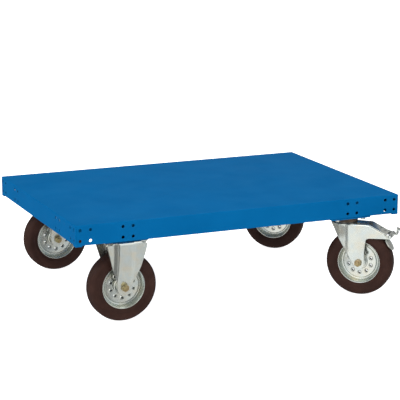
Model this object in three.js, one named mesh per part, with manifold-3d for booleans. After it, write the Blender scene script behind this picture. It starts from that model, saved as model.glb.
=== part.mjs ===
// Steel platform cart: a folded sheet-metal deck on two fixed casters at the -X end
// and two swivel casters with foot brakes at the +X end.
// Millimetres, +Z up. The origin is the centre of the deck's top face, +X runs along the
// deck towards the swivel casters, and +Y is the left-hand side.
import * as THREE from 'three';
import { mergeVertices } from 'three/addons/utils/BufferGeometryUtils.js';
import Module from 'manifold-3d';

const wasm = await Module();
wasm.setup();

// ---- driving dimensions ----------------------------------------------------
const GAP = 0.3;

const DECK_LENGTH = 1010;
const DECK_WIDTH = 700;
const DECK_HEIGHT = 298;
const SKIRT_DEPTH = 57.8;
const SHEET = 2.5;
const LIP_WIDTH = 20;
const CORNER_TAB = 19;
const CORNER_DROP = 2.5;
const HOLE_RADIUS = 4.5;
const HOLE_SIDES = 8;
const HOLE_EDGE = 14;
const HOLE_PITCH = 30;
const HOLE_GROUP = 125;
const HOLE_ROW = 14.4;

const STIFFENER_Y = 215;
const STIFFENER_WIDTH = 40;
const STIFFENER_DEPTH = 48;
const STIFFENER_REACH = 478;
const STIFFENER_SHEET = 2;

const BEARER_THICKNESS = 3.7;
const BEARER_WIDTH = 130;
const BEARER_X = 350;
const FIXED_BEARER_REACH = 340;
const SWIVEL_BEARER_REACH = 349;

const WHEEL_RADIUS = 100;
const WHEEL_WIDTH = 50;
const WHEEL_SIDES = 28;
const TUBE_SIDES = 16;
const RACE_SIDES = 24;
const SHOULDER_RADIUS = 15;
const BEAD_RADIUS = 63.3;
const RIM_SHEET = 2;
const HUB_RADIUS = 20;
const HUB_WALL = 4;
const HUB_LENGTH = 55;
const AXLE_TUBE_RADIUS = 10;
const AXLE_BOLT_RADIUS = 6;
const AXLE_NUT_FLATS = 19;
const AXLE_NUT_HEIGHT = 8;
const LEG_SHEET = 3;
const LEG_FACE = 30;

const PLATE_TOP = 236.2;
const PLATE_THICKNESS = 3.4;
const BOLT_HOLE_RADIUS = 4.5;

const FIXED_X = -352.5;
const FIXED_Y = 294;
const BRACKET_LENGTH = 124;
const BRACKET_HALF_WIDTH = 56;
const BRACKET_BOLTS = [105, 80];

const SWIVEL_X = 360.5;
const SWIVEL_Y = 292;
const SWIVEL_YAW = THREE.MathUtils.degToRad(-42);
const TRAIL = 48;
const TOP_PLATE = [105, 80];
const TOP_PLATE_DISC = 44;
const TOP_PLATE_BOLTS = [84, 60];
const KINGPIN_RADIUS = 6;
const CROWN_TOP = 217.5;
const CROWN_SHEET = 3.5;
const CROWN_RADIUS = 42;
const KINGPIN_HEAD = 12;
const LEG_CREASE = [-15, 174];
const LEG_END_RADIUS = 17.3;
const FLANGE_WIDTH = 26.5;
const ARM_BEND = 78;
const RACE_RADIUS = 26.5;
const RACE_INNER = 20;
const RACE_OUTER = 33;
const SEAL_RADIUS = 37;
const BRAKE_PIN = [140, 186];
const BRAKE_PIN_RADIUS = 3;
const SHOE_RADIUS = 23;
const SHOE_SHEET = 3.5;
const SHOE_GAP = 3.2;
const SHOE_ANGLE = THREE.MathUtils.degToRad(35);
const PEDAL_SHEET = 3;
const PEDAL_ARM = 13.5;
const PEDAL_FLARE = 22;
const PEDAL_REACH = 206;

// ---- finishes ---------------------------------------------------------------
function finish(color, roughness, metalness) {
  return new THREE.MeshStandardMaterial({ color, roughness, metalness });
}

const bluePaint = finish(0x0d629c, 0.35, 0.0);
const zinc = finish(0xb2b7b0, 0.38, 0.9);
const yellowZinc = finish(0xc0a25a, 0.4, 0.85);
const rubber = finish(0x3a2723, 0.7, 0.0);
const bearingSteel = finish(0x8d8f90, 0.25, 1.0);
const brownSeal = finish(0x5a4130, 0.55, 0.0);

// ---- solid helpers ------------------------------------------------------------
function solid(geometry) {
  const bare = geometry.clone();
  bare.deleteAttribute('normal');
  bare.deleteAttribute('uv');
  const welded = mergeVertices(bare, 1e-3);
  const vertProperties = new Float32Array(welded.attributes.position.array);
  const triVerts = new Uint32Array(welded.index.array);
  return new wasm.Manifold(new wasm.Mesh({ numProp: 3, vertProperties, triVerts }));
}

function geometryOf(body) {
  const mesh = body.getMesh();
  const geometry = new THREE.BufferGeometry();
  geometry.setAttribute('position', new THREE.BufferAttribute(mesh.vertProperties, 3));
  geometry.setIndex(new THREE.BufferAttribute(mesh.triVerts, 1));
  geometry.computeVertexNormals();
  return geometry;
}

function joinAll(bodies) {
  return bodies.reduce((sum, body) => sum.add(body));
}

function cutAll(body, cutters) {
  return cutters.reduce((rest, cutter) => rest.subtract(cutter), body);
}

// Box from its lowest and highest corner.
function box(low, high) {
  const size = high.map((value, i) => value - low[i]);
  const geometry = new THREE.BoxGeometry(...size);
  geometry.translate(...low.map((value, i) => value + size[i] / 2));
  return geometry;
}

// Upright round bar.
function postZ(radius, low, high, sides, x = 0, y = 0) {
  const geometry = new THREE.CylinderGeometry(radius, radius, high - low, sides);
  geometry.rotateX(Math.PI / 2);
  geometry.translate(x, y, (low + high) / 2);
  return geometry;
}

// Round bar along Y.
function barY(radius, low, high, sides, x = 0, z = 0) {
  const geometry = new THREE.CylinderGeometry(radius, radius, high - low, sides);
  geometry.translate(x, (low + high) / 2, z);
  return geometry;
}

// Round bar along X.
function barX(radius, low, high, sides, y = 0, z = 0) {
  const geometry = new THREE.CylinderGeometry(radius, radius, high - low, sides);
  geometry.rotateZ(Math.PI / 2);
  geometry.translate((low + high) / 2, y, z);
  return geometry;
}

// Ring turned about Y from a closed [radius, y] outline, listed with the outer face going up.
function turnedY(outline, sides) {
  const points = [...outline, outline[0]].map(([r, y]) => new THREE.Vector2(r, y));
  return new THREE.LatheGeometry(points, sides);
}

// Ring turned about Z from a closed [radius, z] outline, listed with the outer face going up.
function turnedZ(outline, sides) {
  const geometry = turnedY(outline, sides);
  geometry.rotateX(Math.PI / 2);
  return geometry;
}

// Plain tube outline between two radii and two ends.
function tubeOutline(inner, outer, low, high) {
  return [[inner, low], [outer, low], [outer, high], [inner, high]];
}

// Plate standing in the XZ plane: an [x, z] outline given thickness from y = low to y = high.
function plateXZ(shape, low, high, curveSegments = 6) {
  const options = { depth: high - low, bevelEnabled: false, curveSegments };
  const geometry = new THREE.ExtrudeGeometry(shape, options);
  geometry.rotateX(Math.PI / 2);
  geometry.translate(0, high, 0);
  return geometry;
}

function shapeOf(points) {
  return new THREE.Shape(points.map(([x, z]) => new THREE.Vector2(x, z)));
}

function mirroredY(body) {
  return body.mirror([0, 1, 0]);
}

function named(name, geometry, material) {
  const mesh = new THREE.Mesh(geometry, material);
  mesh.name = name;
  return mesh;
}

// ---- deck -----------------------------------------------------------------------
// Distances of the skirt holes from the middle of a side of the given length.
function holeStations(length) {
  const fromCorner = [HOLE_EDGE, HOLE_EDGE + HOLE_PITCH, HOLE_EDGE + HOLE_GROUP,
    HOLE_EDGE + HOLE_GROUP + HOLE_PITCH];
  const half = fromCorner.map((offset) => length / 2 - offset);
  return [...half, ...half.map((offset) => -offset)];
}

function skirtHoles() {
  const reach = 6;
  const cutters = [];
  for (const row of [0, 1]) {
    const z = -HOLE_ROW - row * HOLE_PITCH;
    for (const side of [-1, 1]) {
      const y = side * DECK_WIDTH / 2;
      const x = side * DECK_LENGTH / 2;
      for (const station of holeStations(DECK_LENGTH)) {
        cutters.push(solid(barY(HOLE_RADIUS, y - reach, y + reach, HOLE_SIDES, station, z)));
      }
      for (const station of holeStations(DECK_WIDTH)) {
        cutters.push(solid(barX(HOLE_RADIUS, x - reach, x + reach, HOLE_SIDES, station, z)));
      }
    }
  }
  return cutters;
}

// Folded tray open at the bottom: top, four skirts, inward lips, and corners that hang a little lower.
function deckSheet() {
  const x = DECK_LENGTH / 2;
  const y = DECK_WIDTH / 2;
  const bottom = -SKIRT_DEPTH;
  const deepest = bottom - CORNER_DROP;
  const block = solid(box([-x, -y, deepest], [x, y, 0]));
  const hollow = solid(box([-x + SHEET, -y + SHEET, bottom + SHEET], [x - SHEET, y - SHEET, -SHEET]));
  const mouth = solid(box([-x + SHEET + LIP_WIDTH, -y + SHEET + LIP_WIDTH, deepest - 1],
    [x - SHEET - LIP_WIDTH, y - SHEET - LIP_WIDTH, bottom + SHEET + 1]));
  const longTrim = solid(box([-x + CORNER_TAB, -y - 1, deepest - 1], [x - CORNER_TAB, y + 1, bottom]));
  const crossTrim = solid(box([-x - 1, -y + CORNER_TAB, deepest - 1], [x + 1, y - CORNER_TAB, bottom]));
  const cornerMouths = [];
  for (const sx of [-1, 1]) {
    for (const sy of [-1, 1]) {
      const xs = [sx * (x - SHEET - LIP_WIDTH - 1), sx * (x - SHEET)].sort((a, b) => a - b);
      const ys = [sy * (y - SHEET - LIP_WIDTH - 1), sy * (y - SHEET)].sort((a, b) => a - b);
      cornerMouths.push(solid(box([xs[0], ys[0], deepest - 1], [xs[1], ys[1], bottom + SHEET + 1])));
    }
  }
  return cutAll(block, [hollow, mouth, longTrim, crossTrim, ...cornerMouths, ...skirtHoles()]);
}

// Channel along the deck under its top, open upwards.
function stiffener(side) {
  const high = -SHEET - GAP;
  const low = high - STIFFENER_DEPTH;
  const half = STIFFENER_WIDTH / 2;
  const wall = half - STIFFENER_SHEET;
  const y = side * STIFFENER_Y;
  const bar = solid(box([-STIFFENER_REACH, y - half, low], [STIFFENER_REACH, y + half, high]));
  const channel = solid(box([-STIFFENER_REACH - 1, y - wall, low + STIFFENER_SHEET],
    [STIFFENER_REACH + 1, y + wall, high + 1]));
  return geometryOf(bar.subtract(channel));
}

// Flat cross plate that a pair of casters is bolted to.
function bearer(centreX, reach, casterX, casterY, [spacingX, spacingY]) {
  const top = -SKIRT_DEPTH - GAP;
  const bottom = top - BEARER_THICKNESS;
  const half = BEARER_WIDTH / 2;
  const plate = solid(box([centreX - half, -reach, bottom], [centreX + half, reach, top]));
  const holes = [];
  for (const side of [-1, 1]) {
    for (const dx of [-spacingX / 2, spacingX / 2]) {
      for (const dy of [-spacingY / 2, spacingY / 2]) {
        const [hx, hy] = [casterX + dx, side * casterY + dy];
        holes.push(solid(postZ(BOLT_HOLE_RADIUS, bottom - 1, top + 1, HOLE_SIDES, hx, hy)));
      }
    }
  }
  return geometryOf(cutAll(plate, holes));
}

// ---- wheel, centred on its own middle with its axis along Y -----------------------
function tyreGeometry() {
  const side = WHEEL_WIDTH / 2;
  const seat = BEAD_RADIUS + 2 * GAP;
  const halfOutline = [[seat - 1, 13], [seat, 17.5], [seat, 21.5], [78, side]];
  const steps = 2;
  for (let i = 0; i <= steps; i += 1) {
    const angle = (i / steps) * (Math.PI / 2);
    const r = WHEEL_RADIUS - SHOULDER_RADIUS + SHOULDER_RADIUS * Math.sin(angle);
    const y = side - SHOULDER_RADIUS + SHOULDER_RADIUS * Math.cos(angle);
    halfOutline.push([r, y]);
  }
  const lower = halfOutline.map(([r, y]) => [r, -y]);
  return turnedY([...lower, ...halfOutline.reverse()], WHEEL_SIDES);
}

// One pressed half of the rim: a raised disc, a recessed ring, a wall and a turned bead.
function rimHalf(direction) {
  const disc = 6;
  const recess = RIM_SHEET + GAP / 2;
  const outside = [[HUB_RADIUS + GAP, disc], [49, disc], [51.5, recess], [56, recess], [BEAD_RADIUS, 20.8]];
  const inside = [[BEAD_RADIUS, 18.3], [57.7, GAP / 2], [49.4, GAP / 2], [47.6, disc - RIM_SHEET],
    [HUB_RADIUS + GAP, disc - RIM_SHEET]];
  const outline = [...outside, ...inside].map(([r, y]) => [r, direction * y]);
  return turnedY(direction > 0 ? outline.reverse() : outline, WHEEL_SIDES);
}

function tubeY(inner, outer, length, sides = TUBE_SIDES) {
  return turnedY(tubeOutline(inner, outer, -length / 2, length / 2), sides);
}

function wheelGroup(label) {
  const wheel = new THREE.Group();
  const bore = HUB_RADIUS - HUB_WALL;
  wheel.add(named(`${label}_tyre`, tyreGeometry(), rubber));
  wheel.add(named(`${label}_rim_outer_half`, rimHalf(-1), zinc));
  wheel.add(named(`${label}_rim_inner_half`, rimHalf(1), zinc));
  wheel.add(named(`${label}_hub_tube`, tubeY(bore, HUB_RADIUS, HUB_LENGTH - 2), zinc));
  const sleeve = tubeY(AXLE_TUBE_RADIUS + GAP, bore - GAP, HUB_LENGTH - 4);
  wheel.add(named(`${label}_bearing_sleeve`, sleeve, bearingSteel));
  return wheel;
}

// Spacer tube and through bolt with its nut, which stay with the fork.
function axleGroup(label) {
  const axle = new THREE.Group();
  const hexRadius = AXLE_NUT_FLATS / Math.sqrt(3);
  const nutSeat = LEG_FACE + GAP;
  const nutFace = nutSeat + AXLE_NUT_HEIGHT;
  const shaft = solid(barY(AXLE_BOLT_RADIUS, -nutFace - 3, nutFace - 1, 12));
  const head = solid(barY(hexRadius, nutSeat, nutFace, 6));
  const nut = solid(barY(hexRadius, -nutFace, -nutSeat, 6));
  const nutBore = solid(barY(AXLE_BOLT_RADIUS + GAP, -nutFace - 1, -nutSeat + 1, 12));
  const spacerLength = 2 * (LEG_FACE - LEG_SHEET - GAP);
  const spacer = tubeY(AXLE_BOLT_RADIUS + GAP, AXLE_TUBE_RADIUS, spacerLength);
  axle.add(named(`${label}_axle_tube`, spacer, bearingSteel));
  axle.add(named(`${label}_axle_bolt`, geometryOf(shaft.add(head)), yellowZinc));
  axle.add(named(`${label}_axle_nut`, geometryOf(nut.subtract(nutBore)), yellowZinc));
  return axle;
}

// ---- fixed caster bracket, heights above the floor ---------------------------------
// Levels of one leg: height, half length and distance of its outer face from the middle.
const BRACKET_LEVELS = [
  [PLATE_TOP, 42, BRACKET_HALF_WIDTH],
  [229, 60, BRACKET_HALF_WIDTH],
  [205, 54, BRACKET_HALF_WIDTH],
  [160, 41.5, 49],
  [130, 29.5, 40],
  [111, 22, LEG_FACE],
];

// One stretch of the leg between two levels, leaning evenly from one face distance to the next.
function legBand([topHeight, topHalf, topFace], [lowHeight, lowHalf, lowFace]) {
  const corners = [[-lowHalf, lowHeight], [lowHalf, lowHeight], [topHalf, topHeight], [-topHalf, topHeight]];
  const band = plateXZ(shapeOf(corners), lowFace - LEG_SHEET, lowFace);
  const lean = (topFace - lowFace) / (topHeight - lowHeight);
  const { position } = band.attributes;
  for (let i = 0; i < position.count; i += 1) {
    position.setY(i, position.getY(i) + lean * (position.getZ(i) - lowHeight));
  }
  return solid(band);
}

function bracketLeg() {
  const bands = [];
  for (let i = 0; i + 1 < BRACKET_LEVELS.length; i += 1) {
    bands.push(legBand(BRACKET_LEVELS[i], BRACKET_LEVELS[i + 1]));
  }
  const [eyeHeight, eyeHalf] = BRACKET_LEVELS[BRACKET_LEVELS.length - 1];
  const eye = new THREE.Shape();
  eye.moveTo(eyeHalf, eyeHeight);
  eye.lineTo(-eyeHalf, eyeHeight);
  eye.absarc(0, WHEEL_RADIUS, eyeHalf + 1, Math.PI - 0.2, 2 * Math.PI + 0.2, false);
  bands.push(solid(plateXZ(eye, LEG_FACE - LEG_SHEET, LEG_FACE)));
  return joinAll(bands);
}

function boltCutters([spacingX, spacingY]) {
  const cutters = [];
  for (const dx of [-spacingX / 2, spacingX / 2]) {
    for (const dy of [-spacingY / 2, spacingY / 2]) {
      cutters.push(solid(postZ(BOLT_HOLE_RADIUS, PLATE_TOP - 9, PLATE_TOP + 1, HOLE_SIDES, dx, dy)));
    }
  }
  return cutters;
}

function fixedBracket() {
  const x = BRACKET_LENGTH / 2;
  const y = BRACKET_HALF_WIDTH;
  const plate = solid(box([-x, -y, PLATE_TOP - PLATE_THICKNESS], [x, y, PLATE_TOP]));
  const leg = bracketLeg();
  const boltBore = solid(barY(AXLE_BOLT_RADIUS + GAP, -y - 5, y + 5, 12, 0, WHEEL_RADIUS));
  return geometryOf(cutAll(joinAll([plate, leg, mirroredY(leg)]), [boltBore, ...boltCutters(BRACKET_BOLTS)]));
}

// ---- swivel caster, in its own frame: kingpin on the Z axis, wheel trailing along +X --
// Side view of one leg with its brake arm, as [forward of kingpin, height].
function forkSideShape() {
  const underside = 177;
  const fillet = 17;
  const back = TRAIL + LEG_END_RADIUS;
  const [creaseX, creaseZ] = LEG_CREASE;
  const toCrease = new THREE.Vector2(creaseX - TRAIL, creaseZ - WHEEL_RADIUS);
  const tangent = toCrease.angle() + Math.acos(LEG_END_RADIUS / toCrease.length());
  const side = new THREE.Shape();
  side.moveTo(creaseX, CROWN_TOP);
  side.lineTo(creaseX, creaseZ);
  side.absarc(TRAIL, WHEEL_RADIUS, LEG_END_RADIUS, tangent, 2 * Math.PI, false);
  side.lineTo(back, underside - fillet);
  side.absarc(back + fillet, underside - fillet, fillet, Math.PI, Math.PI / 2, true);
  side.lineTo(141, 180);
  side.lineTo(146, 184);
  side.lineTo(ARM_BEND, CROWN_TOP);
  side.closePath();
  return side;
}

// Triangular flange at the front of a leg, turned in towards the kingpin from a vertical crease.
function creaseFlange() {
  const [creaseX, creaseZ] = LEG_CREASE;
  const outline = shapeOf([[-FLANGE_WIDTH, CROWN_TOP], [0, creaseZ], [4, creaseZ], [4, CROWN_TOP]]);
  const flange = plateXZ(outline, -LEG_SHEET, 0);
  flange.rotateZ(THREE.MathUtils.degToRad(22));
  flange.translate(creaseX, LEG_FACE, 0);
  return solid(flange);
}

// Web that joins the two arms: level over the wheel, then sloping down to the brake pin.
function forkWeb() {
  const drop = CROWN_SHEET;
  const lift = 2;
  const outline = shapeOf([[0, CROWN_TOP - drop], [0, CROWN_TOP], [ARM_BEND, CROWN_TOP],
    [128, 193.3], [128, 193.3 - drop - lift], [ARM_BEND - 1.5, CROWN_TOP - drop]]);
  return solid(plateXZ(outline, -LEG_FACE, LEG_FACE));
}

function forkGeometry() {
  const side = solid(plateXZ(forkSideShape(), LEG_FACE - LEG_SHEET, LEG_FACE));
  const flange = creaseFlange();
  const crown = solid(postZ(CROWN_RADIUS, CROWN_TOP - CROWN_SHEET, CROWN_TOP, 24));
  const body = joinAll([side, mirroredY(side), flange, mirroredY(flange), crown, forkWeb()]);
  const reach = LEG_FACE + 5;
  const axleBore = solid(barY(AXLE_BOLT_RADIUS + GAP, -reach, reach, 12, TRAIL, WHEEL_RADIUS));
  const pinBore = solid(barY(BRAKE_PIN_RADIUS + GAP, -reach, reach, 12, ...BRAKE_PIN));
  const kingpinBore = solid(postZ(KINGPIN_RADIUS + GAP, CROWN_TOP - 9, CROWN_TOP + 9, 12));
  const sights = [106, 119].map((x) => solid(postZ(3.5, 180, 215, 10, x, 12)));
  return geometryOf(cutAll(body, [axleBore, pinBore, kingpinBore, ...sights]));
}

function topPlate() {
  const low = PLATE_TOP - PLATE_THICKNESS;
  const [length, width] = TOP_PLATE;
  const plate = solid(box([-length / 2, -width / 2, low], [length / 2, width / 2, PLATE_TOP]));
  const disc = solid(postZ(TOP_PLATE_DISC, low, PLATE_TOP, 28));
  const sink = solid(postZ(KINGPIN_HEAD + GAP, low - 1, PLATE_TOP + 1, 20));
  return geometryOf(cutAll(plate.add(disc), [sink, ...boltCutters(TOP_PLATE_BOLTS)]));
}

function ballRace() {
  const ball = 3;
  const seat = CROWN_TOP + GAP + 5;
  const ring = new THREE.TorusGeometry(RACE_RADIUS, ball, 5, RACE_SIDES);
  ring.translate(0, 0, seat + GAP + ball);
  return ring;
}

function lowerRace() {
  const low = CROWN_TOP + GAP;
  return turnedZ(tubeOutline(RACE_INNER, RACE_OUTER, low, low + 4.7), RACE_SIDES);
}

function upperRace() {
  const high = PLATE_TOP - PLATE_THICKNESS - GAP;
  return turnedZ(tubeOutline(RACE_INNER, RACE_OUTER, high - 3, high), RACE_SIDES);
}

function swivelSeal() {
  const high = PLATE_TOP - PLATE_THICKNESS - GAP;
  return turnedZ(tubeOutline(SEAL_RADIUS - 3.5, SEAL_RADIUS, CROWN_TOP + 2.5, high), RACE_SIDES);
}

function kingpinBolt() {
  const shaft = solid(postZ(KINGPIN_RADIUS, 203, PLATE_TOP - 1, 12));
  const head = solid(postZ(KINGPIN_HEAD, PLATE_TOP - PLATE_THICKNESS + GAP, PLATE_TOP - GAP, 20));
  return geometryOf(shaft.add(head));
}

function kingpinNut() {
  const high = CROWN_TOP - CROWN_SHEET - GAP;
  const nut = solid(postZ(11, high - 9, high, 6));
  return geometryOf(nut.subtract(solid(postZ(KINGPIN_RADIUS + GAP, high - 10, high + 1, 12))));
}

// Round brake shoe plate that faces the tread.
function shoePlate() {
  const near = WHEEL_RADIUS + SHOE_GAP;
  const disc = new THREE.CylinderGeometry(SHOE_RADIUS, SHOE_RADIUS, SHOE_SHEET, 20);
  disc.rotateZ(-Math.PI / 2);
  disc.translate(near + SHOE_SHEET / 2, 0, 0);
  disc.rotateY(-SHOE_ANGLE);
  disc.translate(TRAIL, 0, WHEEL_RADIUS);
  return solid(disc);
}

// Foot pad seen from above: narrow at the riser, flared at the toe.
function footPad(low) {
  const riser = 156;
  const outline = [[riser, -PEDAL_ARM], [168, -PEDAL_ARM], [180, -PEDAL_FLARE],
    [PEDAL_REACH - 6, -PEDAL_FLARE], [PEDAL_REACH, -PEDAL_FLARE + 6]];
  const mirrored = outline.map(([x, y]) => [x, -y]).reverse();
  const options = { depth: PEDAL_SHEET, bevelEnabled: false };
  const pad = new THREE.ExtrudeGeometry(shapeOf([...outline, ...mirrored]), options);
  pad.translate(0, 0, low);
  return solid(pad);
}

// Shoe on a tongue below the pin, short arm, round-topped riser and foot pad.
function pedalGeometry() {
  const [pinX, pinZ] = BRAKE_PIN;
  const armLow = pinZ + 2.5;
  const riserX = 156;
  const riserTop = 213;
  const padLow = 203;
  const tongue = [[130, 165], [125, 173], [133.5, 181], [134, 190], [147, 190], [147, 183]];
  const riserBend = riserTop - PEDAL_ARM;
  const toeHalf = PEDAL_FLARE - 7;
  const body = joinAll([
    shoePlate(),
    solid(plateXZ(shapeOf(tongue), -8, 8)),
    solid(barY(6.5, -22, 22, 16, pinX, pinZ)),
    solid(box([pinX, -PEDAL_ARM, armLow], [riserX + PEDAL_SHEET, PEDAL_ARM, armLow + PEDAL_SHEET])),
    solid(box([riserX, -PEDAL_ARM, armLow], [riserX + PEDAL_SHEET, PEDAL_ARM, riserBend])),
    solid(barX(PEDAL_ARM, riserX, riserX + PEDAL_SHEET, 20, 0, riserBend)),
    footPad(padLow),
    solid(box([PEDAL_REACH - PEDAL_SHEET, -toeHalf, padLow - 7], [PEDAL_REACH, toeHalf, padLow + 1])),
  ]);
  return geometryOf(body.subtract(solid(barY(BRAKE_PIN_RADIUS + GAP, -40, 40, 12, pinX, pinZ))));
}

function brakePin() {
  const reach = LEG_FACE + 3.5;
  const shaft = solid(barY(BRAKE_PIN_RADIUS, -reach, reach, 12, ...BRAKE_PIN));
  const heads = [1, -1].map((side) => {
    const ends = [side * (LEG_FACE + GAP), side * reach].sort((a, b) => a - b);
    return solid(barY(5, ...ends, 12, ...BRAKE_PIN));
  });
  return geometryOf(joinAll([shaft, ...heads]));
}

// ---- assembly ----------------------------------------------------------------------
function fixedCaster(label, side) {
  const caster = new THREE.Group();
  caster.position.set(FIXED_X, side * FIXED_Y, 0);
  caster.add(named(`${label}_bracket`, fixedBracket(), zinc));
  for (const group of [wheelGroup(label), axleGroup(label)]) {
    group.position.z = WHEEL_RADIUS;
    caster.add(group);
  }
  return caster;
}

function swivelCaster(label, side) {
  const caster = new THREE.Group();
  caster.position.set(SWIVEL_X, side * SWIVEL_Y, 0);
  caster.add(named(`${label}_top_plate`, topPlate(), zinc));
  caster.add(named(`${label}_upper_race`, upperRace(), bearingSteel));
  caster.add(named(`${label}_swivel_seal`, swivelSeal(), brownSeal));
  caster.add(named(`${label}_kingpin_bolt`, kingpinBolt(), zinc));
  const turning = new THREE.Group();
  turning.rotation.z = SWIVEL_YAW;
  turning.add(named(`${label}_kingpin_nut`, kingpinNut(), zinc));
  turning.add(named(`${label}_ball_race`, ballRace(), bearingSteel));
  turning.add(named(`${label}_lower_race`, lowerRace(), bearingSteel));
  turning.add(named(`${label}_fork`, forkGeometry(), zinc));
  turning.add(named(`${label}_brake_pin`, brakePin(), zinc));
  turning.add(named(`${label}_brake_pedal`, pedalGeometry(), zinc));
  for (const group of [wheelGroup(label), axleGroup(label)]) {
    group.position.set(TRAIL, 0, WHEEL_RADIUS);
    turning.add(group);
  }
  caster.add(turning);
  return caster;
}

const cart = new THREE.Group();
cart.add(named('deck', geometryOf(deckSheet()), bluePaint));
cart.add(named('deck_stiffener_right', stiffener(-1), bluePaint));
cart.add(named('deck_stiffener_left', stiffener(1), bluePaint));
cart.add(named('fixed_caster_bearer',
  bearer(-BEARER_X, FIXED_BEARER_REACH, FIXED_X, FIXED_Y, BRACKET_BOLTS), bluePaint));
cart.add(named('swivel_caster_bearer',
  bearer(BEARER_X, SWIVEL_BEARER_REACH, SWIVEL_X, SWIVEL_Y, TOP_PLATE_BOLTS), bluePaint));

const running = new THREE.Group();
running.position.z = -DECK_HEIGHT;
for (const [side, label] of [[-1, 'right'], [1, 'left']]) {
  running.add(fixedCaster(`fixed_${label}`, side));
  running.add(swivelCaster(`swivel_${label}`, side));
}
cart.add(running);

export default cart;
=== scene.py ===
"""Steel platform cart: painted sheet-steel deck, two fixed casters and two braked swivel casters.

Outlines and profiles are in millimetres. Caster pieces are drawn in their caster's own frame,
with Z = 0 on the floor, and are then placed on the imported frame.
"""
from math import acos, asin, atan2, cos, degrees, hypot, pi, radians, sin, sqrt, tan

import bmesh
import bpy
from mathutils import Matrix, Vector


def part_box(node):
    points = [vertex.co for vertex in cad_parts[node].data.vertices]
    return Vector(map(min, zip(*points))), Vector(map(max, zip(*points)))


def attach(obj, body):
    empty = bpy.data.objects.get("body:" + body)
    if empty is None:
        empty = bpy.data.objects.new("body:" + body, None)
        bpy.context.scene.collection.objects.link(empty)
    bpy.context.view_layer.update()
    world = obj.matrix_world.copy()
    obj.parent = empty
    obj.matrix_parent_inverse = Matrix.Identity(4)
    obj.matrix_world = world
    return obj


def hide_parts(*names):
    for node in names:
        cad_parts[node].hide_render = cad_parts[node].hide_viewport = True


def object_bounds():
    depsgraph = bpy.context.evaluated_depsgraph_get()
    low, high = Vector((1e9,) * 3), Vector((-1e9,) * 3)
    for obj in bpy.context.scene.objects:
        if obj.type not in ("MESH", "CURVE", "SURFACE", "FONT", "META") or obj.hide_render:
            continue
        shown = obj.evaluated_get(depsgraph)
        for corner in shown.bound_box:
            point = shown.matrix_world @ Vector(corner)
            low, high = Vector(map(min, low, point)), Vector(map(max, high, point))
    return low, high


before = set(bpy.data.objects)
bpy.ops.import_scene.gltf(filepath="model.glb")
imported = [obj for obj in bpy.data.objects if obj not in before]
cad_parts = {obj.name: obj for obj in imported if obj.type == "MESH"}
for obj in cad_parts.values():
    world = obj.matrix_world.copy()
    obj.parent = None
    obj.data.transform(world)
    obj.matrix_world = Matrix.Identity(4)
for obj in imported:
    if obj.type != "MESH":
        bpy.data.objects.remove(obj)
cad_low, cad_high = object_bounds()

MM = 0.001
SIDES = {"right": -1, "left": 1}

# ---- driving dimensions, from the frame ----


def box_mm(node):
    """Lowest and highest corner of a CAD node, in millimetres."""
    low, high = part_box(node)
    return low / MM, high / MM


deck_high = box_mm("deck")[1]
DECK_HALF_LENGTH = deck_high.x
DECK_HALF_WIDTH = deck_high.y
FLOOR = cad_low.z / MM


def measured(node):
    """Centre and half size of a CAD node, in millimetres."""
    low, high = box_mm(node)
    return [[(b + a) / 2 for a, b in zip(low, high)], [(b - a) / 2 for a, b in zip(low, high)]]


(_, _, tyre_z), (_, WHEEL_HALF_WIDTH, WHEEL_RADIUS) = measured("fixed_right_tyre")
(FIXED_X, FIXED_Y, bracket_z), (PLATE_HALF_LENGTH, PLATE_HALF_WIDTH, bracket_half) = measured(
    "fixed_right_bracket")
(SWIVEL_X, SWIVEL_Y, _), _ = measured("swivel_right_kingpin_bolt")
AXLE_HEIGHT = tyre_z - FLOOR
PLATE_TOP = bracket_z + bracket_half - FLOOR
SWIVEL_YAW = radians(-42)
TRAIL = 48

BEARER_TOP = box_mm("fixed_caster_bearer")[1].z

SHEET = 2.5
SKIRT_BOTTOM = -57.8
LIP_WIDTH = 20
CORNER_TAB = 19
CORNER_DROP = 2.5
HOLE_RADIUS = 4.5
LEG_FACE = 30
LEG_SHEET = 3
CROWN_TOP = 217.5
CROWN_SHEET = 3.5
BRAKE_PIN = (140, 186)
BEAD_RADIUS = 63.3
HUB_RADIUS = 20
EYE_RADIUS = 22.9
AXLE_BORE = 6.3
PIN_BORE = 3.3
BOLT_BORE = 4.5

FOUR_CORNERS = [(sx, sy) for sx in (-1, 1) for sy in (-1, 1)]
ONTO_AXLE = Matrix.Rotation(pi / 2, 4, "X")
FLIPPED = Matrix.Rotation(pi, 4, "X")


# ---- shapes: a shape is (vertices, faces) ----


def at(x, y, z):
    return Matrix.Translation((x, y, z))


def spun(angle, axis):
    return Matrix.Rotation(angle, 4, axis)


def moved(shape, matrix):
    points, faces = shape
    return [matrix @ Vector(p) for p in points], faces


def on_axle(shape, x, z):
    """Shape drawn about Z, laid along Y at a place in side view."""
    return moved(shape, at(x, 0, z) @ ONTO_AXLE)


def joined(shapes):
    points, faces = [], []
    for more_points, more_faces in shapes:
        start = len(points)
        points.extend(more_points)
        faces.extend([tuple(i + start for i in face) for face in more_faces])
    return points, faces


def mirrored(half):
    """Outline or section carried on by its mirror image below the first axis."""
    return half + [(x, -y) for x, y in reversed(half)]


def rectangle(left, low, right, high):
    return [(left, low), (right, low), (right, high), (left, high)]


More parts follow.
